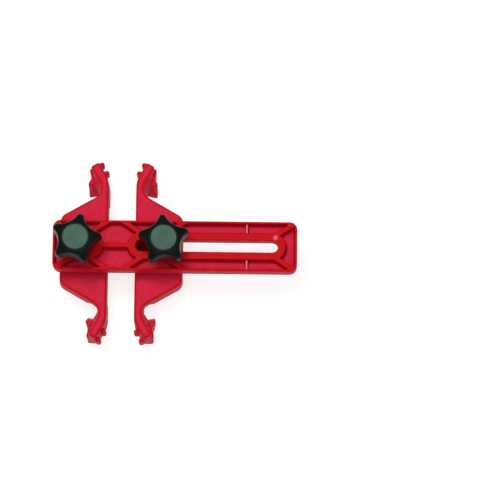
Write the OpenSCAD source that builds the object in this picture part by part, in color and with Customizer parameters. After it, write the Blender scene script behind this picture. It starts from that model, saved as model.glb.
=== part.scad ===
// Twin-jaw camshaft sprocket locking clamp.
// X runs along the slotted bar, Y across it, Z up through the bolts.
// The origin is the middle of the footprint, level with the undersides of the claws.

/* [Slide bar] */
// Overall length of the bar
bar_length = 185; // [180:1:200]
// Width of the bar
bar_width = 38.6; // [38:0.1:42]
// Height of the bar from the foot of its skirt to its top
bar_height = 12; // [11:0.5:14]
// Radius of the bar's corners
bar_corner = 6; // [4:0.5:7]
// Width of the rim round the top pockets
rim = 1.8; // [1.5:0.1:3]
// Depth of the top pockets
pocket_depth = 6.5; // [4:0.5:7]
// Width of the ribs between the pockets
rib_width = 3.6; // [2.5:0.1:4.5]
// Angle of the diagonal ribs to the bar
rib_angle = 33; // [30:1:36]
// Width of the slot
slot_width = 9; // [8.6:0.1:10]
// Outer width of the raised boss round the slot
boss_width = 20.6; // [19:0.2:22]
// Depth of the guide channel in the underside
channel_depth = 2.5; // [2:0.1:3.5]
// Thickness of the skirt walls beside the guide channel
skirt_wall = 3.4; // [3:0.1:4]

/* [Bolt positions] */
// Distance of the fixed bolt from the middle of the bar
fixed_bolt_x = -74.2; // [-75:0.1:-73]
// Position of the sliding bolt along the bar
sliding_bolt_x = -8; // [-25:0.5:73]
// Left end of the bolt's travel in the slot
slot_start_x = -25.3; // [-26:0.1:-24]
// Right end of the bolt's travel in the slot
slot_end_x = 73.5; // [70:0.1:74]

/* [Jaws] */
// Width of a jaw along the bar
jaw_width = 36.9; // [36:0.1:38]
// Distance of the bolt from the jaw's inner edge
bolt_inset = 23; // [22:0.1:24]
// Height of the top face of the jaws
jaw_top = 28; // [27:0.5:30]
// Thickness of the middle of the jaw below that face
jaw_plate = 15; // [13:0.5:16]
// Thickness of the jaw's arms above the deep claws
arm_thickness = 9; // [8:0.5:10]
// Angle at which the arms lean outwards
lean = 30; // [30:1:30]
// Distance from the centreline to the start of the lean
lean_start = 50; // [49:0.5:51]
// Width of an arm at its tip
arm_width = 7.8; // [7:0.1:8.5]
// Radius of the hook in the outer side of an arm
hook_radius = 9; // [8.5:0.1:9.5]
// Height of the pad that carries the bar
pad_height = 7; // [6.5:0.1:8]

/* [Claw teeth] */
// Radius of the belt teeth on a claw
tooth_radius = 2; // [1.5:0.1:2.2]
// Height of a tooth
tooth_height = 3.4; // [3:0.1:3.6]
// Distance from the end of the bend to the first tooth
tooth_first = 1.5; // [1.2:0.1:2.4]
// Pitch of the teeth
tooth_pitch = 7.6; // [7:0.1:8]

/* [Knobs and hardware] */
// Overall diameter of a knob
knob_diameter = 40; // [38:0.5:41]
// Radius of the valleys between the lobes
knob_valley = 13.2; // [12:0.1:14]
// Radius of a lobe's tip
lobe_tip = 3.2; // [2.6:0.1:3.6]
// Overall height of a knob
knob_height = 25.2; // [24:0.2:27]
// Diameter of the neck under the lobes
neck_diameter = 18; // [17:0.5:19]
// Height of the neck
neck_height = 10.5; // [9:0.5:12]
// Radius of the dome that the lobes' tops lie on
dome_radius = 33; // [30:0.5:42]
// Rise of the lobes' undersides from the neck out to the tips
lobe_rise = 2.5; // [1:0.1:4]
// Diameter of the cap disc
cap_diameter = 19.2; // [18:0.2:19.6]
// Turn of the fixed knob's first lobe from the bar's direction
fixed_knob_turn = 6.5; // [0:0.5:72]
// Turn of the sliding knob's first lobe from the bar's direction
sliding_knob_turn = 22.1; // [0:0.1:72]
// Thread diameter of the bolts
bolt_diameter = 8; // [8:1:8]
// Length of a bolt under its head
bolt_length = 45; // [42:1:48]

/* [Hidden] */
$fn = 64;

eps = 0.5;                      // how far a cut runs past the face it opens
fit = 0.1;                      // gap between parts that slide on flat faces

// Levels above the undersides of the claws
plate_bottom = jaw_top - jaw_plate;
claw_top = jaw_top - arm_thickness;
pad_top = jaw_top + pad_height;
skirt_bottom = pad_top + fit - channel_depth;
bar_top = skirt_bottom + bar_height;
washer_height = 1.6;
knob_bottom = bar_top + washer_height;

// Bar
boss_radius = boss_width / 2;
channel_width = bar_width - 2 * skirt_wall;
end_wall = 3.5;                 // skirt wall across each end of the bar
fixed_boss_x2 = -64.9;          // inner end of the boss round the fixed bolt
rib_foot = 11;                  // height across the bar at which a diagonal rib leaves its boss
rib_length = 34;
mark_x = 54.3;                  // setting mark across the long pockets
mark_width = 1.5;
mark_height = 4;

// Hardware
bolt_radius = bolt_diameter / 2;
bolt_clearance = 0.2;
head_across_flats = 13;
head_height = 5.3;
head_z = plate_bottom + 0.2;
head_pocket_depth = head_height + 0.2;
insert_radius = 6;
insert_height = 14;
insert_inset = 0.6;             // how far the insert sits above the foot of the neck
thread_gap = 0.05;              // running clearance of the insert on the bolt
washer_radius = 9;
lobes = 5;                      // lobes of a star knob
cap_thickness = 1.8;
cap_gap = 0.1;

// Jaw
bolt_boss_radius = 8;
pad_inset = 0.4;                // pad ends inside the jaw's edges
pad_width = channel_width - 0.6;
pad_wall = 2;
cavity_floor = plate_bottom + 7;
outer_corner = 7;
claw_inner_v = 38.7;            // where the deep claws start, out from the centreline
claw_end_v = 67.4;
root_width = 7.5;               // width of the deep claw beside the jaw's inner edge
ledge_end = [8.1, 47.3];        // ledge in the hook, from its narrow end round a corner to its tip
ledge_corner = [11.8, 53];
ledge_tip = [13.1, 59.3];
ledge_width = 0.5;
notch = [14.2, 58.6];           // between the barb and the tapered block of a claw
slope_top = jaw_top - 1.5;
layer = 0.2;                    // thickness of the outlines that a tapered solid joins
tooth_bottom = 10;
tooth_top = 21.5;
skin = 4;                       // wall left round the pockets in the underside
jaw_rib = 2.5;                  // thickness of the ribs inside a jaw
pocket_start_v = 16;            // inner end of the pockets in the underside
pocket_rib_u = 17;

// Points of an arc about centre c from angle a0 to a1
function arc(c, r, a0, a1, n = 10) =
    [for (i = [0:n]) let (a = a0 + (a1 - a0) * i / n) [c[0] + r * cos(a), c[1] + r * sin(a)]];

// The jaw's frame: u outwards from the inner edge, v along the jaw from its middle.
bend_radius = 20;
lean_dir = [sin(lean), cos(lean)];
across_dir = [cos(lean), -sin(lean)];
bend_end = [bend_radius * (1 - cos(lean)), lean_start + bend_radius * sin(lean)];
lean_length = 11.1;
inner_tip = bend_end + lean_length * lean_dir;
outer_tip = inner_tip + arm_width * across_dir;
hook_start = outer_tip - 14.1 * lean_dir;
hook_centre = hook_start + hook_radius * across_dir;
outer_slope = 30;               // fall of the outer edge from a hook to the corner
hook_end = hook_centre - hook_radius * [sin(outer_slope), cos(outer_slope)];
slope_hit = hook_end[1] - (jaw_width - hook_end[0]) * tan(outer_slope);
corner_v = slope_hit - outer_corner * tan(outer_slope);

// Half of the jaw's outline, from the middle of the inner edge round to the middle of the outer edge
function half_outline() = concat(
    [[0, 0]],
    arc([bend_radius, lean_start], bend_radius, 180, 180 - lean),
    [inner_tip, outer_tip],
    arc(hook_centre, hook_radius, 180 - lean, 270 - outer_slope),
    arc([jaw_width - outer_corner, corner_v], outer_corner, 90 - outer_slope, 0),
    [[jaw_width, 0]]);

module both_ends() {
    children();
    mirror([0, 1, 0]) children();
}

module rounded_rect(length, width, r) {
    square([length - 2 * r, width], center = true);
    square([length, width - 2 * r], center = true);
    for (x = [-1, 1], y = [-1, 1])
        translate([x * (length / 2 - r), y * (width / 2 - r)]) circle(r);
}

module stadium(x1, x2, r) {
    translate([x1, 0]) circle(r);
    translate([x2, 0]) circle(r);
    translate([x1, -r]) square([x2 - x1, 2 * r]);
}

// A rib that leaves its boss at x on both sides of the bar and runs out at an angle
module rib_pair(x, angle) {
    both_ends()
        translate([x, rib_foot]) rotate(angle)
            translate([-rib_width, -rib_width / 2]) square([rib_length, rib_width]);
}

module rib_pattern() {
    rib_pair(slot_end_x + 6.1, rib_angle);
    rib_pair(slot_start_x + 21.2, rib_angle);
    rib_pair(slot_start_x - 2.5, 180 - rib_angle);
    rib_pair(fixed_boss_x2 + 2.5, rib_angle);
    rib_pair(fixed_bolt_x - 6.1, 180 - rib_angle);
    translate([fixed_bolt_x, -rib_width / 2])
        square([slot_start_x - fixed_bolt_x, rib_width]);
}

module top_pockets() {
    difference() {
        rounded_rect(bar_length - 2 * rim, bar_width - 2 * rim, bar_corner - rim);
        stadium(slot_start_x, slot_end_x, boss_radius);
        stadium(fixed_bolt_x, fixed_boss_x2, boss_radius);
        rib_pattern();
    }
}

module slide_bar() {
    color([0.78, 0.1, 0.17])
    difference() {
        translate([0, 0, skirt_bottom])
            linear_extrude(bar_height) rounded_rect(bar_length, bar_width, bar_corner);
        translate([0, 0, skirt_bottom - eps])
            linear_extrude(channel_depth + eps)
                square([bar_length - 2 * end_wall, channel_width], center = true);
        difference() {
            translate([0, 0, bar_top - pocket_depth])
                linear_extrude(pocket_depth + eps) top_pockets();
            translate([mark_x - mark_width / 2, -bar_width / 2, bar_top - pocket_depth - eps])
                cube([mark_width, bar_width, mark_height + eps]);
        }
        translate([0, 0, skirt_bottom])
            linear_extrude(bar_height + eps)
                stadium(slot_start_x, slot_end_x, slot_width / 2);
        translate([fixed_bolt_x, 0, skirt_bottom])
            cylinder(h = bar_height + eps, r = bolt_radius + bolt_clearance);
    }
}

module jaw_outline() {
    half = half_outline();
    n = len(half);
    polygon(concat(half, [for (i = [n - 2:-1:1]) [half[i][0], -half[i][1]]]));
}

// Deep lower part of a claw, which stands out of the hook as a narrow ledge
module claw_root_outline() {
    polygon(concat(
        [[0, claw_inner_v]],
        arc([bend_radius, lean_start], bend_radius, 180, 180 - lean),
        [outer_tip - 4 * lean_dir, ledge_tip, ledge_corner, ledge_end],
        [[root_width, 45], [root_width, claw_inner_v]]));
}

// Solid between one outline at height z0 and another at height z1
module between(z0, low, z1, high) {
    hull() {
        translate([0, 0, z0]) linear_extrude(layer) polygon(low);
        translate([0, 0, z1 - layer]) linear_extrude(layer) polygon(high);
    }
}

// Tapered block under the tip of an arm
module claw_end() {
    root = [5, 56];
    foot = [[7, claw_end_v - 0.4], [9.8, claw_end_v], [15.2, claw_end_v - 0.2], [15, 59]];
    between(0, concat([bend_end], foot, [root]),
            claw_top, [bend_end, inner_tip, outer_tip + [0.9, -0.3], notch, root]);
}

// Barb on the hook side of a claw: its face is cut back on a slope from foot to top
module claw_lug() {
    foot_v = 46.7;
    top_v = 52.6;
    intersection() {
        linear_extrude(claw_top)
            polygon([[9.5, foot_v], [16.4, foot_v], [16.6, 53], [13.8, 60], [8, 60], [8, 52]]);
        rotate([90, 0, 90]) linear_extrude(20)
            polygon([[foot_v, 0], [62, 0], [62, claw_top], [top_v, claw_top]]);
    }
}

// Sloping faces of the hook, from just inside the ledge up to the edge of the arm
module hook_slope() {
    low_end = ledge_end - [ledge_width, 0];
    low_corner = ledge_corner - [ledge_width, 0];
    low_tip = ledge_tip - [ledge_width, 0];
    overlap = low_end + 0.9 * (low_corner - low_end);
    tip_edge = outer_tip - 4 * lean_dir - ledge_width * across_dir;
    back = 5;
    between(claw_top - 1, [[back, low_end[1]], low_end, low_corner, [back, low_corner[1]]],
            slope_top, [[back, low_end[1]], [6.9, low_end[1]], [7.6, low_corner[1]], [back, low_corner[1]]]);
    between(claw_top - 1, [[back, overlap[1]], overlap, low_tip, tip_edge, [8, 60]],
            slope_top, [[back, overlap[1]], [7.5, overlap[1]], tip_edge, [8, 60]]);
}

module claw_teeth() {
    for (k = [0, 1]) {
        base = bend_end + (tooth_first + k * tooth_pitch) * lean_dir;
        translate([base[0], base[1], tooth_bottom]) rotate(180 - lean) {
            translate([tooth_height - tooth_radius, 0])
                cylinder(h = tooth_top - tooth_bottom, r = tooth_radius);
            translate([-1, -tooth_radius, 0])
                cube([tooth_height - tooth_radius + 1, 2 * tooth_radius, tooth_top - tooth_bottom]);
        }
    }
}

// Pockets that lighten the underside of the jaw between its bolt and an arm
module underside_pockets() {
    outer_u = jaw_width - skin;
    inside = hook_end - skin * [sin(outer_slope), cos(outer_slope)];
    far = inside + (outer_u - inside[0]) * [1, -tan(outer_slope)];
    difference() {
        polygon([[skin, pocket_start_v], [skin, inside[1]], inside, far, [outer_u, pocket_start_v]]);
        translate([pocket_rib_u, 0]) square([jaw_rib, lean_start]);
    }
}

module hexagon(across_flats, height) {
    cylinder(h = height, r = across_flats / sqrt(3), $fn = 6);
}

// One jaw in its own frame: u is +X, v is Y, and the bolt stands at [bolt_inset, 0]
module jaw() {
    pocket_roof = jaw_top - skin;
    difference() {
        union() {
            translate([0, 0, claw_top]) linear_extrude(arm_thickness) jaw_outline();
            translate([0, 0, plate_bottom]) linear_extrude(claw_top - plate_bottom) intersection() {
                jaw_outline();
                translate([0, -claw_inner_v - 1]) square([jaw_width, 2 * claw_inner_v + 2]);
            }
            both_ends() {
                linear_extrude(claw_top) claw_root_outline();
                claw_end();
                claw_lug();
                hook_slope();
                claw_teeth();
            }
            translate([jaw_width / 2, 0, jaw_top])
                linear_extrude(pad_height)
                    rounded_rect(jaw_width - 2 * pad_inset, pad_width, 2);
        }
        translate([jaw_width / 2, 0, cavity_floor])
            linear_extrude(pad_top - cavity_floor + eps) difference() {
                rounded_rect(jaw_width - 2 * (pad_inset + pad_wall), pad_width - 2 * pad_wall, 2);
                translate([bolt_inset - jaw_width / 2, 0]) circle(bolt_boss_radius);
                translate([bolt_inset - jaw_width / 2, 0]) square([jaw_rib, jaw_width], center = true);
            }
        both_ends() translate([0, 0, plate_bottom - eps])
            linear_extrude(pocket_roof - plate_bottom + eps) underside_pockets();
        translate([bolt_inset, 0, 0]) cylinder(h = pad_top + eps, r = bolt_radius + bolt_clearance);
        translate([bolt_inset, 0, plate_bottom - eps])
            hexagon(head_across_flats + 0.2, head_pocket_depth + eps);
    }
}

module fixed_jaw() {
    color([0.78, 0.1, 0.17])
    translate([fixed_bolt_x + bolt_inset, 0, 0]) rotate([0, 0, 180]) jaw();
}

module sliding_jaw() {
    color([0.78, 0.1, 0.17])
    translate([sliding_bolt_x - bolt_inset, 0, 0]) jaw();
}

module bolt(x) {
    color([0.72, 0.73, 0.75])
    translate([x, 0, head_z]) {
        hexagon(head_across_flats, head_height);
        cylinder(h = head_height + bolt_length, r = bolt_radius);
    }
}

module fixed_bolt() bolt(fixed_bolt_x);
module sliding_bolt() bolt(sliding_bolt_x);

module washer(x) {
    color([0.72, 0.73, 0.75])
    translate([x, 0, bar_top]) difference() {
        cylinder(h = washer_height, r = washer_radius);
        translate([0, 0, -eps])
            cylinder(h = washer_height + 2 * eps, r = bolt_radius + bolt_clearance);
    }
}

module fixed_washer() washer(fixed_bolt_x);
module sliding_washer() washer(sliding_bolt_x);

// Outline of a star knob with concave flanks that run smoothly into its round tips
module star() {
    half = 180 / lobes;
    tip_r = knob_diameter / 2 - lobe_tip;
    reach = knob_valley - lobe_tip;
    flank_r = (tip_r * tip_r - reach * reach) / (2 * (tip_r * cos(half) - reach));
    flank_radius = flank_r - knob_valley;
    tip = [tip_r, 0];
    flank = flank_r * [cos(half), sin(half)];
    to_flank = flank - tip;
    join = atan2(to_flank[1], to_flank[0]);
    turned = 2 * half - join;
    lobe = concat(
        arc(tip, lobe_tip, -join, join, 8),
        arc(flank, flank_radius, join + 180, turned + 180, 10));
    polygon([for (k = [0:lobes - 1], i = [0:len(lobe) - 2])
        let (a = 2 * k * half, p = lobe[i]) [p[0] * cos(a) - p[1] * sin(a), p[0] * sin(a) + p[1] * cos(a)]]);
}

module knob(x, turn) {
    outer_r = knob_diameter / 2 + 1;
    crown_r = cap_diameter / 2 + 0.6;
    crown_angle = asin(crown_r / dome_radius);
    dome_centre = [0, knob_height - dome_radius * cos(crown_angle)];
    color([0.06, 0.1, 0.08])
    translate([x, 0, knob_bottom]) rotate(turn) difference() {
        union() {
            intersection() {
                linear_extrude(knob_height) star();
                rotate_extrude() polygon(concat(
                    [[0, neck_height - 1], [neck_diameter / 2, neck_height - 1],
                     [outer_r, neck_height + lobe_rise]],
                    arc(dome_centre, dome_radius, 90 - asin(outer_r / dome_radius), 90 - crown_angle),
                    [[0, knob_height]]));
            }
            cylinder(h = neck_height, r = neck_diameter / 2);
        }
        translate([0, 0, -eps]) cylinder(h = insert_inset + insert_height + eps, r = insert_radius);
        cylinder(h = knob_height - 4, r = bolt_radius + 0.6);
        translate([0, 0, knob_height - cap_thickness - cap_gap])
            cylinder(h = cap_thickness + cap_gap + eps, r = cap_diameter / 2 + cap_gap);
    }
}

module fixed_knob() knob(fixed_bolt_x, fixed_knob_turn);
module sliding_knob() knob(sliding_bolt_x, sliding_knob_turn);

module knob_insert(x) {
    color([0.8, 0.66, 0.35])
    translate([x, 0, knob_bottom + insert_inset]) difference() {
        cylinder(h = insert_height - 0.1, r = insert_radius - 0.02);
        translate([0, 0, -eps])
            cylinder(h = insert_height + 2 * eps, r = bolt_radius + thread_gap);
    }
}

module fixed_knob_insert() knob_insert(fixed_bolt_x);
module sliding_knob_insert() knob_insert(sliding_bolt_x);

module knob_cap(x) {
    color([0.27, 0.42, 0.36])
    translate([x, 0, knob_bottom + knob_height - cap_thickness])
        cylinder(h = cap_thickness, r = cap_diameter / 2);
}

module fixed_knob_cap() knob_cap(fixed_bolt_x);
module sliding_knob_cap() knob_cap(sliding_bolt_x);

slide_bar();
fixed_jaw();
sliding_jaw();
fixed_bolt();
sliding_bolt();
fixed_washer();
sliding_washer();
fixed_knob();
sliding_knob();
fixed_knob_insert();
sliding_knob_insert();
fixed_knob_cap();
sliding_knob_cap();
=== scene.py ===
"""Looks of the twin-jaw camshaft sprocket clamp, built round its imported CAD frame.

The moulded pieces are made as distance fields with rounded edges and fillets, and then meshed.
Lengths in the shape code are millimetres in the frame's own axes; meshes are stored in metres.
"""

import math

import bpy
import numpy as np
from mathutils import Matrix, Vector


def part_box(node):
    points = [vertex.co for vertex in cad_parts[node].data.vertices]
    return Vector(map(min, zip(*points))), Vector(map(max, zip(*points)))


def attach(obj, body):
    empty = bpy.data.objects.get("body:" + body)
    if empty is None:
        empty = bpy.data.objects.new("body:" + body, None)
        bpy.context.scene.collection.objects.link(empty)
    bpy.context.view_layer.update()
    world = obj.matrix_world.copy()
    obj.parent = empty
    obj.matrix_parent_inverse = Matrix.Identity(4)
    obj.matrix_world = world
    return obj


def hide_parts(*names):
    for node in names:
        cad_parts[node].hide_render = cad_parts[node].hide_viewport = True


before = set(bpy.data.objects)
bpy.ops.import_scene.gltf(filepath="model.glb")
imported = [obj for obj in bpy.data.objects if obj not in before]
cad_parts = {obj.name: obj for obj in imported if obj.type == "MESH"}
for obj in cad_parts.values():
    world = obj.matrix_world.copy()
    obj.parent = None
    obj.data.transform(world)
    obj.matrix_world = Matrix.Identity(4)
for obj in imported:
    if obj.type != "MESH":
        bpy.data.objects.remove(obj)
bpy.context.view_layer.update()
MM = 0.001


# ---------------------------------------------------------------- places from the frame


def box_mm(node):
    """A node's lowest and highest corners in millimetres."""
    low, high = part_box(node)
    return np.array(low) / MM, np.array(high) / MM


BAR_LOW, BAR_HIGH = box_mm("slide_bar")
JAW_LOW, JAW_HIGH = box_mm("sliding_jaw")
KNOB_LOW, KNOB_HIGH = box_mm("fixed_knob")
CAP_LOW, CAP_HIGH = box_mm("fixed_knob_cap")
WASHER_LOW, WASHER_HIGH = box_mm("fixed_washer")
INSERT_LOW, INSERT_HIGH = box_mm("fixed_knob_insert")
BOLT_LOW, BOLT_HIGH = box_mm("fixed_bolt")


def bolt_x(side):
    """Where a bolt stands along the bar: the middle of its washer."""
    low, high = box_mm(f"{side}_washer")
    return float(low[0] + high[0]) / 2


FIXED_X, SLIDING_X = bolt_x("fixed"), bolt_x("sliding")
BAR_TOP = float(BAR_HIGH[2])
JAW_TOP = 28.0
PLATE_BOTTOM = JAW_TOP - 15.0
CLAW_TOP = JAW_TOP - 9.0
PAD_TOP = float(JAW_HIGH[2])
BOLT_INSET = SLIDING_X - float(JAW_LOW[0])

# the hardware that the mouldings are shaped round, and the space left for it
BOLT_RADIUS, BOLT_HOLE = 4.0, 4.2
HEX_HALF, HEX_GAP = 6.5, 0.1
HEAD_HEIGHT, HEAD_POCKET = 5.3, 5.5
SLIDE_GAP = 0.06

# how finely the mouldings are sampled, and the share of their faces that is kept
MOULD_STEP, MOULD_SHARE = 0.42, 0.3


# ---------------------------------------------------------------- distance fields


def arc(centre, radius, start, end, steps=16):
    """Points of an arc, angles in degrees."""
    angles = np.radians(np.linspace(start, end, steps + 1))
    return [(centre[0] + radius * math.cos(a), centre[1] + radius * math.sin(a)) for a in angles]


def filleted(points, radii):
    """An outline with each corner rounded to its own radius; 0 leaves a corner sharp."""
    corners = [np.array(p, float) for p in points]
    out = []
    for i, (p, r) in enumerate(zip(corners, radii)):
        if not r:
            out.append(tuple(p))
            continue
        back, ahead = corners[i - 1] - p, corners[(i + 1) % len(corners)] - p
        back, ahead = back / np.linalg.norm(back), ahead / np.linalg.norm(ahead)
        half = math.acos(float(np.clip(back @ ahead, -1, 1))) / 2
        reach = r / math.tan(half)
        middle = (back + ahead) / np.linalg.norm(back + ahead)
        centre = p + middle * r / math.sin(half)
        start, end = p + back * reach - centre, p + ahead * reach - centre
        a0 = math.degrees(math.atan2(start[1], start[0]))
        turn = (math.degrees(math.atan2(end[1], end[0])) - a0 + 180) % 360 - 180
        out += arc(centre, r, a0, a0 + turn, 6)
    return out


def polygon(points, x, y):
    """Signed distance to a closed outline, negative inside."""
    nearest = np.full(np.broadcast(x, y).shape, np.inf)
    inside = np.zeros(nearest.shape, bool)
    pts = np.array(points, float)
    for a, b in zip(pts, np.roll(pts, -1, axis=0)):
        e = b - a
        length2 = float(e @ e)
        if length2 < 1e-12:
            continue
        t = np.clip(((x - a[0]) * e[0] + (y - a[1]) * e[1]) / length2, 0, 1)
        gap = (x - a[0] - e[0] * t) ** 2 + (y - a[1] - e[1] * t) ** 2
        nearest = np.minimum(nearest, gap)
        if a[1] != b[1]:
            crosses = (a[1] <= y) != (b[1] <= y)
            inside ^= crosses & (x < a[0] + (y - a[1]) * e[0] / e[1])
    return np.where(inside, -1, 1) * np.sqrt(nearest)


def rectangle(x, y, half_x, half_y, radius=0.0):
    """A rectangle about the origin with round corners."""
    dx, dy = np.abs(x) - half_x + radius, np.abs(y) - half_y + radius
    outside = np.hypot(np.maximum(dx, 0), np.maximum(dy, 0))
    return outside + np.minimum(np.maximum(dx, dy), 0) - radius


def stadium(x, y, x1, x2, radius):
    """A slot outline from x1 to x2 on the X axis."""
    return np.hypot(x - np.clip(x, x1, x2), y) - radius


def circle(x, y, radius):
    return np.hypot(x, y) - radius


def hexagon(x, y, half_flats):
    """A hexagon with flats facing along Y."""
    third = np.abs(x) * math.sin(math.radians(60)) + np.abs(y) * 0.5
    return np.maximum(np.abs(y), third) - half_flats


def slab(z, low, high):
    return np.maximum(low - z, z - high)


def common(a, b, r):
    """What two shapes share, with the edge between them rounded to r."""
    corner = np.hypot(np.maximum(r + a, 0), np.maximum(r + b, 0))
    return np.minimum(-r, np.maximum(a, b)) + corner


def cut(a, b, r):
    """a without b, with its new edge rounded to r."""
    return common(a, -b, r)


def joined(a, b, r):
    """a and b together, with a fillet of r between them."""
    corner = np.hypot(np.maximum(r - a, 0), np.maximum(r - b, 0))
    return np.maximum(r, np.minimum(a, b)) - corner


# ---------------------------------------------------------------- meshing a field

EDGES = [(a, b) for a in range(8) for b in range(8) if a < b and bin(a ^ b).count("1") == 1]
BITS = np.array([[(c >> k) & 1 for k in range(3)] for c in range(8)])


class Grid:
    """A box of sample points in millimetres; x, y and z broadcast against each other."""

    def __init__(self, low, high, step):
        self.step = step
        self.low = np.array(low, float) - 2.37 * step
        count = np.ceil((np.array(high) - self.low) / step).astype(int) + 3
        axes = [self.low[k] + step * np.arange(count[k]) for k in range(3)]
        self.x = axes[0][:, None, None]
        self.y = axes[1][None, :, None]
        self.z = axes[2][None, None, :]
        self.x2, self.y2 = axes[0][:, None], axes[1][None, :]
        self.shape = tuple(count)

    def sample(self, values, points):
        """values at points between the samples."""
        at = (points - self.low) / self.step
        cell = np.clip(np.floor(at).astype(int), 0, np.array(self.shape) - 2)
        part = at - cell
        total = np.zeros(len(points))
        for bits in BITS:
            weight = np.prod(np.where(bits, part, 1 - part), axis=1)
            total += weight * values[tuple((cell + bits).T)]
        return total


def surface(grid, field):
    """The zero surface of a field as points and quads: one point in each cell that it crosses."""
    solid = field < 0
    corner = lambda b: tuple(slice(b[k], field.shape[k] - 1 + b[k]) for k in range(3))
    count = sum(solid[corner(b)].astype(np.int8) for b in BITS)
    cells = np.argwhere((count > 0) & (count < 8))
    total, hits = np.zeros((len(cells), 3)), np.zeros(len(cells))
    for a, b in EDGES:
        va = field[tuple((cells + BITS[a]).T)]
        vb = field[tuple((cells + BITS[b]).T)]
        crossed = (va < 0) != (vb < 0)
        t = np.where(crossed, va / np.where(crossed, va - vb, 1), 0)
        point = BITS[a] + (BITS[b] - BITS[a]) * t[:, None]
        total += point * crossed[:, None]
        hits += crossed
    points = grid.low + (cells + total / hits[:, None]) * grid.step
    number = np.full([n - 1 for n in field.shape], -1, np.int64)
    number[tuple(cells.T)] = np.arange(len(cells))
    quads = []
    for axis in range(3):
        u, v = (axis + 1) % 3, (axis + 2) % 3
        ahead = np.zeros(3, int)
        ahead[axis] = 1
        here = solid[tuple(slice(0, n - ahead[k]) for k, n in enumerate(field.shape))]
        there = solid[tuple(slice(ahead[k], n) for k, n in enumerate(field.shape))]
        at = np.argwhere(here != there)
        at = at[(at[:, u] > 0) & (at[:, v] > 0)]
        outward = here[tuple(at.T)]
        ring = []
        for du, dv in ((1, 1), (0, 1), (0, 0), (1, 0)):
            c = at.copy()
            c[:, u] -= du
            c[:, v] -= dv
            ring.append(number[tuple(c.T)])
        ring = np.stack(ring, axis=1)
        quads.append(np.where(outward[:, None], ring, ring[:, ::-1]))
    return points, np.concatenate(quads)


def new_mesh(name, points, faces):
    """A mesh in metres from points in millimetres."""
    mesh = bpy.data.meshes.new(name)
    mesh.from_pydata((np.asarray(points) * MM).tolist(), [], np.asarray(faces).tolist())
    mesh.update()
    return mesh


def simplified(mesh, ratio):
    """The mesh with its flat stretches thinned out."""
    work = bpy.data.objects.new("work", mesh)
    bpy.context.scene.collection.objects.link(work)
    thin = work.modifiers.new("thin", "DECIMATE")
    thin.ratio = ratio
    depsgraph = bpy.context.evaluated_depsgraph_get()
    result = bpy.data.meshes.new_from_object(work.evaluated_get(depsgraph))
    bpy.data.objects.remove(work)
    bpy.data.meshes.remove(mesh)
    return result


def mesh_points(mesh):
    """A mesh's points in millimetres."""
    flat = np.empty(len(mesh.vertices) * 3)
    mesh.vertices.foreach_get("co", flat)
    return flat.reshape(-1, 3) / MM


def softened(field, passes):
    """The field blurred a little, which rounds every edge and hollow of the shape."""
    for _ in range(passes):
        for axis in range(3):
            ends = field.take([0, -1], axis)
            padded = np.concatenate([ends.take([0], axis), field, ends.take([1], axis)], axis)
            before = padded.take(range(0, field.shape[axis]), axis)
            after = padded.take(range(2, field.shape[axis] + 2), axis)
            field = (before + 2 * field + after) / 4
    return field


def moulded(name, grid, field, ratio):
    """A mesh of the field with no point below z = 0, with the field's own normals.

    Its "edge" value is above 0 on convex edges and below 0 in hollows.
    """
    points, quads = surface(grid, field)
    mesh = simplified(new_mesh(name, points, quads), ratio)
    mesh.name = name
    for vertex in mesh.vertices:
        vertex.co.z = max(vertex.co.z, 0)
    points = mesh_points(mesh)
    slopes = np.gradient(field, grid.step)
    normals = np.stack([grid.sample(s, points) for s in slopes], axis=1)
    normals /= np.maximum(np.linalg.norm(normals, axis=1, keepdims=True), 1e-9)
    bend = sum(np.gradient(s, grid.step, axis=k) for k, s in enumerate(slopes))
    edge = np.clip(grid.sample(bend, points), -2, 2).astype(np.float32)
    mesh.attributes.new("edge", "FLOAT", "POINT").data.foreach_set("value", edge)
    mesh.shade_smooth()
    mesh.normals_split_custom_set_from_vertices(normals.tolist())
    return mesh


def piece(name, mesh, body, material, replaced, matrix=None):
    """A finished piece: its mesh placed, its material set, riding its body in place of a CAD node."""
    if matrix is not None:
        mesh = mesh.copy()
        mesh.transform(matrix)
    obj = bpy.data.objects.new(name, mesh)
    bpy.context.scene.collection.objects.link(obj)
    obj.data.materials.clear()
    obj.data.materials.append(material)
    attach(obj, body)
    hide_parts(replaced)
    return obj


# ---------------------------------------------------------------- materials


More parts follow.
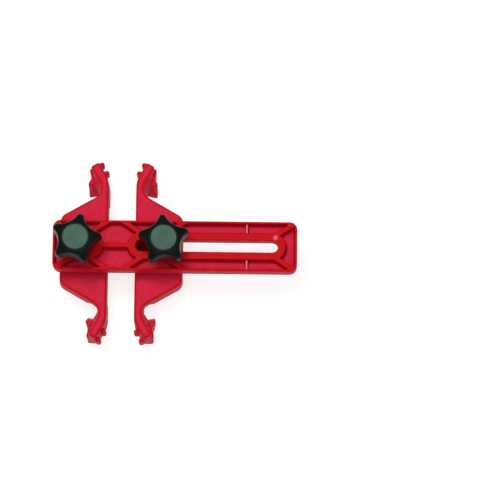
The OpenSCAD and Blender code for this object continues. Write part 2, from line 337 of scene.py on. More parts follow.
class Nodes:
    """A short way to write a node tree."""

    def __init__(self, name):
        self.material = bpy.data.materials.new(name)
        self.material.use_nodes = True
        self.tree = self.material.node_tree
        self.tree.nodes.clear()
        self.shader = self.add("ShaderNodeBsdfPrincipled")
        out = self.add("ShaderNodeOutputMaterial")
        self.link(self.shader.outputs[0], out.inputs["Surface"])
        self.place = self.add("ShaderNodeTexCoord").outputs["Object"]

    def add(self, kind, **settings):
        node = self.tree.nodes.new(kind)
        for key, value in settings.items():
            setattr(node, key, value)
        return node

    def link(self, a, b):
        self.tree.links.new(a, b)

    def noise(self, scale, detail=3.0, roughness=0.5, distortion=0.0):
        """Noise with features of about 1/scale metres."""
        node = self.add("ShaderNodeTexNoise")
        self.link(self.place, node.inputs["Vector"])
        node.inputs["Scale"].default_value = scale
        node.inputs["Detail"].default_value = detail
        node.inputs["Roughness"].default_value = roughness
        node.inputs["Distortion"].default_value = distortion
        return node.outputs["Fac"]

    def spread(self, value, low, high, to_low, to_high):
        """A value stretched from one range to another, and held inside it."""
        node = self.add("ShaderNodeMapRange")
        self.link(value, node.inputs["Value"])
        for key, number in (("From Min", low), ("From Max", high), ("To Min", to_low), ("To Max", to_high)):
            node.inputs[key].default_value = number
        return node.outputs["Result"]

    def mix(self, factor, a, b):
        """Colour a where factor is 0 and b where it is 1; each is a colour or a socket."""
        node = self.add("ShaderNodeMix", data_type="RGBA")
        self.link(factor, node.inputs["Factor"])
        for socket, colour in ((node.inputs[6], a), (node.inputs[7], b)):
            if isinstance(colour, tuple):
                socket.default_value = (*colour, 1)
            else:
                self.link(colour, socket)
        return node.outputs[2]

    def bump(self, height, distance, strength=1.0, normal=None):
        node = self.add("ShaderNodeBump")
        node.inputs["Strength"].default_value = strength
        node.inputs["Distance"].default_value = distance
        self.link(height, node.inputs["Height"])
        if normal is not None:
            self.link(normal, node.inputs["Normal"])
        return node.outputs["Normal"]

    def edge(self):
        """The curvature stored on a moulded mesh."""
        return self.add("ShaderNodeAttribute", attribute_name="edge").outputs["Fac"]

    def math(self, operation, a, b=0.0):
        """One arithmetic step on a socket and a second socket or number."""
        node = self.add("ShaderNodeMath", operation=operation)
        self.link(a, node.inputs[0])
        if isinstance(b, (int, float)):
            node.inputs[1].default_value = b
        else:
            self.link(b, node.inputs[1])
        return node.outputs[0]

    def axes(self):
        """The place's x, y and z in metres, as three sockets."""
        node = self.add("ShaderNodeSeparateXYZ")
        self.link(self.place, node.inputs[0])
        return node.outputs[0], node.outputs[1], node.outputs[2]


def setting_marks(n):
    """1 on the pale tops of the setting marks, 0.6 on the round spot near the slot's end, else 0."""
    x, y, z = n.axes()
    off_mark = n.math("ABSOLUTE", n.math("SUBTRACT", x, MARK_X * MM))
    line = n.spread(off_mark, 0.0005, 0.0009, 1, 0)
    raised = n.spread(z, (MARK_TOP - 0.7) * MM, (MARK_TOP - 0.2) * MM, 0, 1)
    low = n.spread(z, (MARK_TOP + 0.3) * MM, (MARK_TOP + 1.2) * MM, 1, 0)
    mark = n.math("MULTIPLY", n.math("MULTIPLY", line, raised), low)
    dx = n.math("SUBTRACT", x, PIN_MARK[0] * MM)
    dy = n.math("SUBTRACT", y, PIN_MARK[1] * MM)
    reach = n.math("SQRT", n.math("ADD", n.math("MULTIPLY", dx, dx), n.math("MULTIPLY", dy, dy)))
    spot = n.spread(reach, (PIN_MARK[2] - 0.5) * MM, PIN_MARK[2] * MM, 0.6, 0)
    on_top = n.spread(z, (BAR_TOP - 1) * MM, (BAR_TOP - 0.5) * MM, 0, 1)
    return n.math("MAXIMUM", mark, n.math("MULTIPLY", spot, on_top))


def red_nylon():
    """Crimson moulded nylon, faintly mottled and speckled; painted shade darkens its hollows, and its edges
    and the bar's top are painted a purer red, the top also darker, standing in for the pinkish sheen that
    they lack.
    """
    n = Nodes("red_nylon")
    mottle = n.spread(n.noise(60, 4), 0.3, 0.7, 0, 1)
    base = n.mix(mottle, (0.49, 0.004, 0.024), (0.54, 0.006, 0.034))
    grain = n.spread(n.noise(900, 3), 0.38, 0.62, 0, 0.55)
    speckled = n.mix(grain, base, (0.6, 0.022, 0.065))
    # painted reflection: the bar's top is given a darker, purer red, standing in for the pinkish sheen that
    # it lacks
    painted_sheenless_top = n.spread(n.axes()[2], (BAR_TOP - 2.5) * MM, (BAR_TOP - 0.8) * MM, 0, 1)
    topped = n.mix(painted_sheenless_top, speckled, (0.47, 0.0015, 0.005))
    # painted reflection: convex edges are given a purer red, standing in for the pinkish sheen that rounded
    # edges don't show
    painted_edge_light = n.spread(n.edge(), 0.08, 0.5, 0, 0.85)
    edged = n.mix(painted_edge_light, topped, (0.52, 0.001, 0.004))
    # painted shade: hollows and inner corners are darkened where shade falls
    hollow = n.spread(n.edge(), -0.6, -0.1, 0.6, 0)
    shaded = n.mix(hollow, edged, (0.32, 0.0008, 0.002))
    n.link(n.mix(setting_marks(n), shaded, (0.8, 0.14, 0.22)), n.shader.inputs["Base Color"])
    n.link(n.spread(n.noise(160, 5, 0.6), 0.3, 0.7, 0.42, 0.56), n.shader.inputs["Roughness"])
    n.shader.inputs["IOR"].default_value = 1.5
    n.shader.inputs["Specular IOR Level"].default_value = 0.05
    fine = n.bump(n.noise(2600, 2), 0.00003, 0.35)
    n.link(n.bump(n.noise(240, 3), 0.00006, 0.25, fine), n.shader.inputs["Normal"])
    return n.material


def knob_plastic():
    """Very dark green-black plastic, smooth on the flanks, with a painted highlight lightening its edges.
    """
    n = Nodes("knob_plastic")
    tone = n.spread(n.noise(70, 4), 0.3, 0.7, 0, 1)
    base = n.mix(tone, (0.0015, 0.0035, 0.0024), (0.003, 0.007, 0.005))
    # painted highlight: convex edges are lightened where light catches them
    painted_edge_light = n.spread(n.edge(), 0.15, 0.7, 0, 0.5)
    n.link(n.mix(painted_edge_light, base, (0.005, 0.012, 0.009)), n.shader.inputs["Base Color"])
    n.link(n.spread(n.noise(210, 5, 0.6), 0.3, 0.7, 0.3, 0.42), n.shader.inputs["Roughness"])
    n.shader.inputs["IOR"].default_value = 1.5
    n.shader.inputs["Specular IOR Level"].default_value = 0.08
    n.link(n.bump(n.noise(2200, 3), 0.00003, 0.3), n.shader.inputs["Normal"])
    return n.material


def cap_plastic():
    """Grey-green disc with a fine matt grain."""
    n = Nodes("cap_plastic")
    cloud = n.spread(n.noise(120, 3), 0.3, 0.7, 0, 1)
    base = n.mix(cloud, (0.026, 0.07, 0.046), (0.042, 0.1, 0.073))
    grain = n.spread(n.noise(1500, 2), 0.35, 0.65, 0, 0.6)
    n.link(n.mix(grain, base, (0.075, 0.145, 0.112)), n.shader.inputs["Base Color"])
    n.link(n.spread(n.noise(400, 3), 0.3, 0.7, 0.5, 0.65), n.shader.inputs["Roughness"])
    n.shader.inputs["IOR"].default_value = 1.5
    n.shader.inputs["Specular IOR Level"].default_value = 0.15
    n.link(n.bump(n.noise(1400, 3), 0.00008, 0.6), n.shader.inputs["Normal"])
    return n.material


def metal(name, dark, light, roughness, grain):
    """Plated or turned metal with a cloudy tone and fine grain."""
    n = Nodes(name)
    tone = n.spread(n.noise(180, 4), 0.3, 0.7, 0, 1)
    n.link(n.mix(tone, dark, light), n.shader.inputs["Base Color"])
    n.shader.inputs["Metallic"].default_value = 1.0
    sheen = n.spread(n.noise(500, 4), 0.3, 0.7, roughness - 0.06, roughness + 0.08)
    n.link(sheen, n.shader.inputs["Roughness"])
    n.link(n.bump(n.noise(grain, 2), 0.00002, 0.3), n.shader.inputs["Normal"])
    return n.material


# places on the bar that the red material and the bar's shape share
POCKET_DEPTH = 6.5
MARK_X, MARK_WIDTH, MARK_HEIGHT = 54.3, 1.5, 4.0
MARK_TOP = BAR_TOP - POCKET_DEPTH + MARK_HEIGHT
PIN_MARK, PIN_DEPTH = (76.0, 7.05, 2.2), 0.3

RED = red_nylon()
BLACK = knob_plastic()
GREEN = cap_plastic()
ZINC = metal("zinc_steel", (0.48, 0.5, 0.52), (0.6, 0.62, 0.63), 0.3, 1500)
BRASS = metal("brass_insert", (0.6, 0.42, 0.16), (0.72, 0.54, 0.26), 0.26, 1300)


# ---------------------------------------------------------------- slide bar

RIM = 1.8
RIB = 3.6
RIB_ANGLE = 33.0
RIB_FOOT = 11.0
RIB_MIDDLE, RIB_REACH = 13.4, 17.0
BAR_CORNER = 6.0
BAR_DRAFT = math.tan(math.radians(2.0))
BOSS_RADIUS = 10.3
SLOT_START, SLOT_END, SLOT_RADIUS = -25.3, 73.5, 4.5
FIXED_BOSS_END = -64.9
CHANNEL_DEPTH = 2.5
SKIRT_WALL, END_WALL = 3.4, 3.5


def rib_field(x, y):
    """The pattern of ribs between the pockets, the same on both sides of the bar."""
    across = np.abs(y)
    ribs = rectangle(x - (FIXED_X + SLOT_START) / 2, y, (SLOT_START - FIXED_X) / 2, RIB / 2)
    starts = (
        (SLOT_END + 6.1, RIB_ANGLE),
        (SLOT_START + 21.2, RIB_ANGLE),
        (SLOT_START - 2.5, 180 - RIB_ANGLE),
        (FIXED_BOSS_END + 2.5, RIB_ANGLE),
        (FIXED_X - 6.1, 180 - RIB_ANGLE),
    )
    for start, angle in starts:
        c, s = math.cos(math.radians(angle)), math.sin(math.radians(angle))
        along = (x - start) * c + (across - RIB_FOOT) * s
        off = -(x - start) * s + (across - RIB_FOOT) * c
        ribs = np.minimum(ribs, rectangle(along - RIB_MIDDLE, off, RIB_REACH, RIB / 2))
    return ribs


def slide_bar_mesh():
    """The slotted bar: rim, ribbed pockets and bosses on top, and the jaws' channel below."""
    g = Grid(BAR_LOW, BAR_HIGH, MOULD_STEP)
    half_x, half_y = BAR_HIGH[0], BAR_HIGH[1]
    bottom, top = BAR_LOW[2], BAR_TOP
    x, y, z = g.x2, g.y2, g.z
    outline = rectangle(x, y, half_x, half_y, BAR_CORNER)[:, :, None]
    bar = common(outline, slab(z, bottom, top), 0.8)

    pocket = rectangle(x, y, half_x - RIM, half_y - RIM, BAR_CORNER - RIM)
    pocket = cut(pocket, stadium(x, y, SLOT_START, SLOT_END, BOSS_RADIUS), 0.9)
    pocket = cut(pocket, stadium(x, y, FIXED_X, FIXED_BOSS_END, BOSS_RADIUS), 0.9)
    pocket = cut(pocket, rib_field(x, y), 0.9)[:, :, None]
    floor = top - POCKET_DEPTH
    pocket = common(pocket + (top - z) * BAR_DRAFT, floor - z, 0.9)
    bar = cut(bar, pocket, 0.5)

    mark = common(np.abs(g.x - MARK_X) - MARK_WIDTH / 2, z - floor - MARK_HEIGHT, 0.35)
    mark = np.maximum(mark, np.abs(g.y) - half_y + RIM / 2)
    bar = joined(bar, np.maximum(mark, floor - 1 - z), 0.25)

    channel = rectangle(x, y, half_x - END_WALL, half_y - SKIRT_WALL, 2.0)[:, :, None]
    bar = cut(bar, common(channel, z - bottom - CHANNEL_DEPTH, 0.3), 0.4)
    bar = cut(bar, stadium(x, y, SLOT_START, SLOT_END, SLOT_RADIUS)[:, :, None], 0.45)
    bar = cut(bar, circle(x - FIXED_X, y, BOLT_HOLE)[:, :, None], 0.4)
    pin = circle(x - PIN_MARK[0], y - PIN_MARK[1], PIN_MARK[2])[:, :, None]
    bar = cut(bar, np.maximum(pin, top - PIN_DEPTH - z), 0.12)
    return moulded("slide_bar_mesh", g, bar, MOULD_SHARE)


# ---------------------------------------------------------------- jaws

JAW_WIDTH = 36.9
LEAN = 30.0
LEAN_START = 50.0
LEAN_LENGTH = 11.1
BEND_RADIUS = 20.0
ARM_WIDTH = 7.8
ARM_OUTER = 14.1
HOOK_RADIUS = 9.0
OUTER_CORNER = 7.0
CLAW_INNER = 38.7
CLAW_END = 67.4
ROOT_WIDTH = 7.5
LEDGE_END, LEDGE_CORNER, LEDGE_TIP = (8.1, 47.3), (11.8, 53.0), (13.1, 59.3)
NOTCH = (14.2, 58.6)
TOP_ROUND = 1.4
JAW_DRAFT = math.tan(math.radians(1.8))
TOOTH_RADIUS, TOOTH_HEIGHT = 2.0, 3.4
TOOTH_FIRST, TOOTH_PITCH = 1.5, 7.6
TOOTH_LOW, TOOTH_HIGH = 10.0, 21.5
PAD_INSET, PAD_WALL, PAD_GAP = 0.4, 2.0, 0.3
CAVITY_FLOOR = PLATE_BOTTOM + 7.0
SKIN = 4.0
WEB_HALF, WEB_U, POCKET_V = 1.25, 18.25, 16.0
CAVITY_BOSS = 8.0

LEAN_DIR = np.array([math.sin(math.radians(LEAN)), math.cos(math.radians(LEAN))])
ACROSS_DIR = np.array([LEAN_DIR[1], -LEAN_DIR[0]])
BEND_END = np.array([BEND_RADIUS * (1 - LEAN_DIR[1]), LEAN_START + BEND_RADIUS * LEAN_DIR[0]])
INNER_TIP = BEND_END + LEAN_LENGTH * LEAN_DIR
OUTER_TIP = INNER_TIP + ARM_WIDTH * ACROSS_DIR
HOOK_CENTRE = OUTER_TIP - ARM_OUTER * LEAN_DIR + HOOK_RADIUS * ACROSS_DIR
HOOK_END = HOOK_CENTRE + HOOK_RADIUS * np.array([-0.5, -math.sin(math.radians(60))])
SLOPE = math.tan(math.radians(30))
CORNER_V = HOOK_END[1] - (JAW_WIDTH - HOOK_END[0]) * SLOPE - OUTER_CORNER * SLOPE


def half_outline():
    """From the middle of the jaw's inner edge, round an arm, to the middle of its outer edge."""
    inner = [(0.0, -5.0)] + arc((BEND_RADIUS, LEAN_START), BEND_RADIUS, 180, 180 - LEAN)
    hook = arc(HOOK_CENTRE, HOOK_RADIUS, 180 - LEAN, 240)
    corner = arc((JAW_WIDTH - OUTER_CORNER, CORNER_V), OUTER_CORNER, 60, 0) + [(JAW_WIDTH, -5.0)]
    points = inner + [tuple(INNER_TIP), tuple(OUTER_TIP)] + hook + corner
    radii = [0] * len(inner) + [1.1, 1.1] + [0] * (len(hook) + len(corner))
    return filleted(points, radii)


def claw_root_outline():
    """The deep part of a claw, which stands out of the hook as a narrow ledge."""
    inner = [(0.0, CLAW_INNER)] + arc((BEND_RADIUS, LEAN_START), BEND_RADIUS, 180, 180 - LEAN)
    ledge = [tuple(OUTER_TIP - 4 * LEAN_DIR), LEDGE_TIP, LEDGE_CORNER, LEDGE_END]
    return inner + ledge + [(ROOT_WIDTH, 45.0), (ROOT_WIDTH, CLAW_INNER)]


def morph(z, low, high, below, above):
    """A shape that changes evenly from one outline at low to another at high."""
    t = np.clip((z - low) / (high - low), 0, 1)
    return below * (1 - t) + above * t


def claw_field(u, v, z, arm, draft):
    """One deep claw: its root, hook slope, tapered end block, barb and belt teeth."""
    outline = lambda points: polygon(points, u[:, :, 0], v[:, :, 0])[:, :, None]
    root = outline(claw_root_outline()) + draft
    claw = np.maximum(root, slab(z, 0, CLAW_TOP))
    slope = morph(z, CLAW_TOP, JAW_TOP - 1, root, arm)
    claw = np.minimum(claw, np.maximum(slope, slab(z, CLAW_TOP - 1, JAW_TOP - 1)))

    heel = (5.0, 56.0)
    wide = [tuple(BEND_END), tuple(INNER_TIP), tuple(OUTER_TIP + np.array([0.9, -0.3])), NOTCH, heel]
    sole = [(7.0, CLAW_END - 0.4), (9.8, CLAW_END), (15.2, CLAW_END - 0.2), (15.0, 59.0)]
    narrow = [tuple(BEND_END)] + sole + [heel]
    end = morph(z, 0, CLAW_TOP, outline(filleted(narrow, [0, 0, 0, 0.9, 0, 0])), outline(wide))
    claw = np.minimum(claw, np.maximum(end, slab(z, 0, CLAW_TOP)))

    foot = [(9.5, 48.2), (16.4, 46.7), (16.6, 52.0), (15.0, 58.6), (8.0, 58.6)]
    head = [LEDGE_CORNER, (16.6, 52.3), (16.4, 54.5), NOTCH, (8.0, 58.6)]
    barb = morph(z, 0, CLAW_TOP, outline(foot), outline(head))
    claw = np.minimum(claw, np.maximum(barb, slab(z, 0, CLAW_TOP)))

    for k in (0, 1):
        base = BEND_END + (TOOTH_FIRST + k * TOOTH_PITCH) * LEAN_DIR
        out = -((u - base[0]) * ACROSS_DIR[0] + (v - base[1]) * ACROSS_DIR[1])
        side = (u - base[0]) * LEAN_DIR[0] + (v - base[1]) * LEAN_DIR[1]
        tooth = stadium(out, side, -1.5, TOOTH_HEIGHT - TOOTH_RADIUS, TOOTH_RADIUS)
        claw = joined(claw, common(tooth, slab(z, TOOTH_LOW, TOOTH_HIGH), 0.6), 0.4)
    return claw


def underside_pocket(u, v):
    """Lightening pockets between the bolt and an arm, split by a rib."""
    outer = JAW_WIDTH - SKIN
    inside = HOOK_END - SKIN * np.array([0.5, math.sin(math.radians(60))])
    far = inside + (outer - inside[0]) * np.array([1.0, -SLOPE])
    outline = [(SKIN, POCKET_V), (outer, POCKET_V), tuple(far), tuple(inside), (SKIN, inside[1])]
    pocket = polygon(filleted(outline, [1.2] * 5), u, v)
    return cut(pocket, np.abs(u - WEB_U) - WEB_HALF, 0.9)


def jaw_mesh():
    """A jaw in the sliding jaw's place; u runs outwards from its inner edge and v along it."""
    g = Grid(JAW_LOW, JAW_HIGH, MOULD_STEP)
    u2, v2 = g.x2 - JAW_LOW[0], np.abs(g.y2) + 0 * g.x2
    u2 = u2 + 0 * v2
    u, v, z = u2[:, :, None], v2[:, :, None], g.z
    draft = np.maximum(z - PLATE_BOTTOM, 0) * JAW_DRAFT
    outline = polygon(half_outline(), u2, v2)[:, :, None] + draft
    floor = np.where(v < CLAW_INNER + 1, PLATE_BOTTOM, CLAW_TOP - 0.5)
    jaw = np.maximum(outline, floor - z)
    jaw = np.minimum(jaw, claw_field(u, v, z, outline, draft))
    jaw = softened(common(jaw, z - JAW_TOP, TOP_ROUND), 3)

    pad_u, pad_v = JAW_WIDTH / 2 - PAD_INSET, BAR_HIGH[1] - SKIRT_WALL - PAD_GAP
    pad = rectangle(u2 - JAW_WIDTH / 2, v2, pad_u, pad_v, 2.0)[:, :, None]
    jaw = joined(jaw, common(pad, slab(z, JAW_TOP - 2, PAD_TOP), 0.4), 0.6)
    cavity = rectangle(u2 - JAW_WIDTH / 2, v2, pad_u - PAD_WALL, pad_v - PAD_WALL, 2.0)
    cavity = cut(cavity, circle(u2 - BOLT_INSET, v2, CAVITY_BOSS), 0.8)
    cavity = cut(cavity, np.abs(u2 - BOLT_INSET) - WEB_HALF, 0.8)[:, :, None]
    jaw = cut(jaw, common(cavity, CAVITY_FLOOR - z, 0.8), 0.35)

    pocket = underside_pocket(u2, v2)[:, :, None]
    jaw = cut(jaw, common(pocket, z - JAW_TOP + SKIN, 0.8), 0.5)
    jaw = cut(jaw, circle(u2 - BOLT_INSET, v2, BOLT_HOLE)[:, :, None], 0.3)
    head = hexagon(u2 - BOLT_INSET, v2, HEX_HALF + HEX_GAP)[:, :, None]
    jaw = cut(jaw, np.maximum(head, z - PLATE_BOTTOM - HEAD_POCKET), 0.3)
    return moulded("jaw_mesh", g, softened(jaw, 1), MOULD_SHARE)


# ---------------------------------------------------------------- knobs

LOBES = 5
KNOB_RADIUS = 20.0
KNOB_VALLEY = 13.9
LOBE_TIP = 3.5
LOBE_DRAFT = math.tan(math.radians(4.5))
DOME_RADIUS = 33.0
NECK_RADIUS, NECK_HEIGHT, LOBE_RISE = 9.0, 10.5, 2.5
CROWN, CAP_RECESS, CAP_GAP = 10.2, 2.0, 0.12
BUSH_HOLE, KNOB_BORE = 6.02, 4.6
LOBE_TURN = {"fixed": 6.5, "sliding": 22.1}


def star_outline():
    """Five lobes whose concave flanks run smoothly into round tips."""
    half = 180 / LOBES
    tip_r, reach = KNOB_RADIUS - LOBE_TIP, KNOB_VALLEY - LOBE_TIP
    flank_r = (tip_r**2 - reach**2) / (2 * (tip_r * math.cos(math.radians(half)) - reach))
    flank = (flank_r * math.cos(math.radians(half)), flank_r * math.sin(math.radians(half)))
    join = math.degrees(math.atan2(flank[1], flank[0] - tip_r))
    lobe = arc((tip_r, 0), LOBE_TIP, -join, join, 12)
    lobe += arc(flank, flank_r - KNOB_VALLEY, join + 180, 2 * half - join + 180, 20)[1:-1]
    points = []
    for k in range(LOBES):
        a = math.radians(2 * k * half)
        points += [(x * math.cos(a) - y * math.sin(a), x * math.sin(a) + y * math.cos(a)) for x, y in lobe]
    return points


def knob_mesh():
    """A knob about its own axis, standing on z = 0."""
    height = float(KNOB_HIGH[2] - KNOB_LOW[2])
    g = Grid((-KNOB_RADIUS, -KNOB_RADIUS, 0), (KNOB_RADIUS, KNOB_RADIUS, height), 0.36)
    x, y, z = g.x2 + 0 * g.y2, g.y2 + 0 * g.x2, g.z
    r = np.hypot(x, y)[:, :, None]
    dome_z = height - math.sqrt(DOME_RADIUS**2 - CROWN**2)
    dome = np.maximum(np.hypot(r, z - dome_z) - DOME_RADIUS, z - height)
    star = polygon(star_outline(), x, y)[:, :, None] + np.maximum(z - NECK_HEIGHT, 0) * LOBE_DRAFT
    under = (NECK_HEIGHT + (r - NECK_RADIUS) * LOBE_RISE / (KNOB_RADIUS - NECK_RADIUS) - z) * 0.97
    lobes = common(common(star, dome, 1.3), under, 0.9)
    neck = common(r - NECK_RADIUS, slab(z, 0, height - 3), 0.6)
    knob = joined(lobes, neck, 1.0)
    recess = r - float(CAP_HIGH[0] - CAP_LOW[0]) / 2 - CAP_GAP
    knob = cut(knob, np.maximum(recess, height - CAP_RECESS - z), 0.25)
    insert_top = float(INSERT_HIGH[2] - KNOB_LOW[2]) + 0.1
    knob = cut(knob, np.maximum(r - BUSH_HOLE, z - insert_top), 0.25)
    knob = cut(knob, np.maximum(r - KNOB_BORE, z - height + 4), 0.2)
    return moulded("knob_mesh", g, knob, 0.35)


# ---------------------------------------------------------------- turned and threaded pieces

PITCH = 1.25
THREAD_DEPTH = 0.62


def lathe(name, profile, segments=96):
    """A closed profile of (radius, height) turned about the Z axis."""
    ring = np.array(profile, float)
    angles = np.linspace(0, 2 * math.pi, segments, endpoint=False)
    points = [(r * math.cos(a), r * math.sin(a), z) for a in angles for r, z in ring]
    n = len(ring)
    faces = []
    for i in range(segments):
        j = (i + 1) % segments
        for k in range(n):
            m = (k + 1) % n
            faces.append((i * n + k, j * n + k, j * n + m, i * n + m))
    mesh = new_mesh(name, points, faces)
    mesh.shade_smooth()
    return mesh


def soft_corner(r, z, dr, dz, size, steps=4):
    """The rounded corner of a profile: (dr, dz) says which way the corner points."""
    out = []
    for k in range(steps + 1):
        a = math.radians(90 * k / steps)
        out.append((r - dr * size * (1 - math.cos(a)), z - dz * size * (1 - math.sin(a))))
    return out


def ring_profile(inner, outer, low, high, size):
    """A washer's section with all four corners rounded."""
    return (
        soft_corner(outer, low, 1, -1, size)[::-1]
        + soft_corner(outer, high, 1, 1, size)
        + soft_corner(inner, high, -1, 1, size)[::-1]
        + soft_corner(inner, low, -1, -1, size)
    )


def washer_mesh():
    """A flat washer, its underside a hair clear of the rails that it slides on."""
    height = float(WASHER_HIGH[2] - WASHER_LOW[2])
    outer = float(WASHER_HIGH[0] - WASHER_LOW[0]) / 2
    return lathe("washer_mesh", ring_profile(BOLT_HOLE, outer, SLIDE_GAP, height, 0.3))


def disc(name, profile, segments=96):
    """A solid turned about the Z axis from a profile that starts and ends on the axis."""
    ring = np.array(profile[1:-1], float)
    angles = np.linspace(0, 2 * math.pi, segments, endpoint=False)
    points = [(r * math.cos(a), r * math.sin(a), z) for a in angles for r, z in ring]
    n = len(ring)
    bottom, top = len(points), len(points) + 1
    points += [(0, 0, profile[0][1]), (0, 0, profile[-1][1])]
    faces = []
    for i in range(segments):
        j = (i + 1) % segments
        faces.append((bottom, j * n, i * n))
        faces.append((top, i * n + n - 1, j * n + n - 1))
        faces += [(i * n + k, j * n + k, j * n + k + 1, i * n + k + 1) for k in range(n - 1)]
    mesh = bpy.data.meshes.new(name)
    mesh.from_pydata((np.array(points) * MM).tolist(), [], faces)
    mesh.shade_smooth()
    mesh.set_sharp_from_angle(angle=math.radians(20))
    return mesh


def cap_mesh():
    """The disc in a knob's top: a soft rim and a barely sunk middle."""
    outer = float(CAP_HIGH[0] - CAP_LOW[0]) / 2
    height = float(CAP_HIGH[2] - CAP_LOW[2])
    rim = soft_corner(outer, height, 1, 1, 0.3, 6)
    middle = [(outer - 0.9, height), (outer - 1.2, height - 0.12), (0, height - 0.12)]
    return disc("cap_mesh", [(0, 0), (outer - 0.2, 0), (outer, 0.2)] + rim + middle)


def thread_wave(angle, z):
    """0 at the root and 1 at the crest of a right-hand thread."""
    phase = (z / PITCH - angle / (2 * math.pi)) % 1.0
    return np.clip(1.35 - 3.2 * np.abs(phase - 0.5), 0, 1)


def bolt_mesh():
    """A hexagon bolt about its own axis, head at the bottom, z in the frame's own heights."""
    low, high = float(BOLT_LOW[2]), float(BOLT_HIGH[2])
    head_top = low + HEAD_HEIGHT
    g = Grid((-7.6, -6.6, low), (7.6, 6.6, high), 0.24)
    x, y, z = g.x2 + 0 * g.y2, g.y2 + 0 * g.x2, g.z
    r, angle = np.hypot(x, y)[:, :, None], np.arctan2(y, x)[:, :, None]
    head = common(hexagon(x, y, HEX_HALF)[:, :, None], slab(z, low, head_top), 0.15)
    bevel = (r - HEX_HALF + 0.1 - (z - low) * math.tan(math.radians(60))) * 0.5
    head = np.maximum(head, bevel)
    wave = thread_wave(angle, z)
    run_out = np.clip((z - head_top - 6) / 1.5, 0, 1)
    shank = r - BOLT_RADIUS + THREAD_DEPTH * (1 - wave) * run_out
    chamfer = (r - 3.2 + (z - high)) * 0.7
    bolt = np.minimum(head, common(np.maximum(shank, chamfer), slab(z, low + 1, high), 0.1))
    return moulded("bolt_mesh", g, bolt, 0.45)


def insert_mesh():
    """A knurled brass bush about its own axis, standing on z = 0."""
    height = float(INSERT_HIGH[2] - INSERT_LOW[2])
    g = Grid((-6, -6, 0), (6, 6, height), 0.22)
    x, y, z = g.x2 + 0 * g.y2, g.y2 + 0 * g.x2, g.z
    r, angle = np.hypot(x, y)[:, :, None], np.arctan2(y, x)[:, :, None]
    knurl = 0.16 * np.cos(angle * 30) * (np.abs(z - height / 2) < height / 2 - 2.2)
    waist = np.clip(1 - np.abs(z - height / 2) / 1.2, 0, 1)
    bush = common(r - 5.8 + 0.6 * waist + np.maximum(-knurl, -0.16), slab(z, 0, height), 0.3)
    bore = r - 4.07
    return moulded("insert_mesh", g, cut(bush, bore, 0.3), 0.4)


# ---------------------------------------------------------------- assembly


def at(x, z=0.0, turn=0.0):
    """A piece's place: turned about Z, then moved along the bar and up; millimetres."""
    return Matrix.Translation((x * MM, 0, z * MM)) @ Matrix.Rotation(math.radians(turn), 4, "Z")


BAR_MESH = slide_bar_mesh()
JAW_MESH = jaw_mesh()
KNOB_MESH = knob_mesh()
WASHER_MESH = washer_mesh()
CAP_MESH = cap_mesh()
BOLT_MESH = bolt_mesh()
INSERT_MESH = insert_mesh()

turned_round = (
    Matrix.Translation((FIXED_X * MM, 0, 0))
    @ Matrix.Rotation(math.pi, 4, "Z")
    @ Matrix.Translation((-SLIDING_X * MM, 0, 0))
)
piece("bar_moulding", BAR_MESH, "bar", RED, "slide_bar")
piece("sliding_jaw_moulding", JAW_MESH, "sliding_jaw", RED, "sliding_jaw")
piece("fixed_jaw_moulding", JAW_MESH, "bar", RED, "fixed_jaw", turned_round)

for side, x, holder in (("fixed", FIXED_X, "bar"), ("sliding", SLIDING_X, "sliding_jaw")):
    knob_body = f"{side}_knob"
    piece(f"{side}_bolt_steel", BOLT_MESH, holder, ZINC, f"{side}_bolt", at(x))
    piece(
        f"{side}_washer_ring", WASHER_MESH, f"{side}_washer", ZINC,
        f"{side}_washer", at(x, WASHER_LOW[2]),
    )
    piece(
        f"{side}_knob_star", KNOB_MESH, knob_body, BLACK,
        f"{side}_knob", at(x, KNOB_LOW[2], LOBE_TURN[side]),
    )
    piece(
        f"{side}_knob_bush", INSERT_MESH, knob_body, BRASS,
        f"{side}_knob_insert", at(x, INSERT_LOW[2]),
    )
    piece(
        f"{side}_knob_disc", CAP_MESH, knob_body, GREEN,
        f"{side}_knob_cap", at(x, CAP_LOW[2]),
    )


# ---------------------------------------------------------------- floor, light and camera

CAMERA_TARGET = Vector((56.8, -2.8, 44.5)) * MM
CAMERA_DISTANCE = 2.6
CAMERA_ELEVATION = math.radians(76.9)
CAMERA_ROLL = math.radians(0.65)
CAMERA_LENS = 247.8


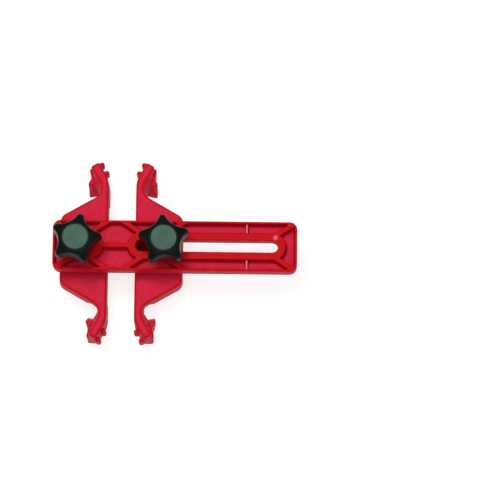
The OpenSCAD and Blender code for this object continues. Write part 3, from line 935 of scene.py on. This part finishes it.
def add_floor():
    """A plain pale floor, bright enough to be white under the studio light."""
    side = 3.0
    corners = [(-side, -side, 0), (side, -side, 0), (side, side, 0), (-side, side, 0)]
    mesh = bpy.data.meshes.new("floor_mesh")
    mesh.from_pydata(corners, [], [(0, 1, 2, 3)])
    floor = bpy.data.objects.new("floor", mesh)
    bpy.context.scene.collection.objects.link(floor)
    paint = bpy.data.materials.new("floor_paint")
    paint.use_nodes = True
    shader = paint.node_tree.nodes["Principled BSDF"]
    shader.inputs["Base Color"].default_value = (0.35, 0.35, 0.35, 1)
    shader.inputs["Roughness"].default_value = 0.9
    shader.inputs["Emission Color"].default_value = (1, 1, 1, 1)
    shader.inputs["Emission Strength"].default_value = 0.75
    mesh.materials.append(paint)


def add_light(name, place, target, size, power):
    """A square area light at a place, aimed at a target; metres and watts."""
    data = bpy.data.lights.new(name, "AREA")
    data.size = size
    data.energy = power
    light = bpy.data.objects.new(name, data)
    light.location = place
    light.rotation_euler = (Vector(target) - Vector(place)).to_track_quat("-Z", "Y").to_euler()
    bpy.context.scene.collection.objects.link(light)


def add_camera():
    """A long lens at the photograph's viewing angle, turned a little about its own axis."""
    back = Vector((0, -math.cos(CAMERA_ELEVATION), math.sin(CAMERA_ELEVATION)))
    right = Vector((1, 0, 0))
    up = back.cross(right)
    c, s = math.cos(CAMERA_ROLL), math.sin(CAMERA_ROLL)
    rolled_right, rolled_up = right * c + up * s, up * c - right * s
    data = bpy.data.cameras.new("camera")
    data.lens = CAMERA_LENS
    data.sensor_width = 36.0
    data.clip_end = 20.0
    camera = bpy.data.objects.new("camera", data)
    basis = Matrix((rolled_right, rolled_up, back)).transposed().to_4x4()
    camera.matrix_world = Matrix.Translation(CAMERA_TARGET + back * CAMERA_DISTANCE) @ basis
    bpy.context.scene.collection.objects.link(camera)
    bpy.context.scene.camera = camera


add_floor()
add_light("key", (-0.3, 0.4, 1.5), (0, 0, 0), 0.4, 9.5)
add_light("overhead", (0, -0.05, 1.4), (0, 0, 0), 1.2, 11)
world = bpy.data.worlds.new("studio")
world.use_nodes = True
world.node_tree.nodes["Background"].inputs["Color"].default_value = (1, 1, 1, 1)
world.node_tree.nodes["Background"].inputs["Strength"].default_value = 0.3
bpy.context.scene.world = world
bpy.context.scene.view_settings.view_transform = "Standard"
add_camera()
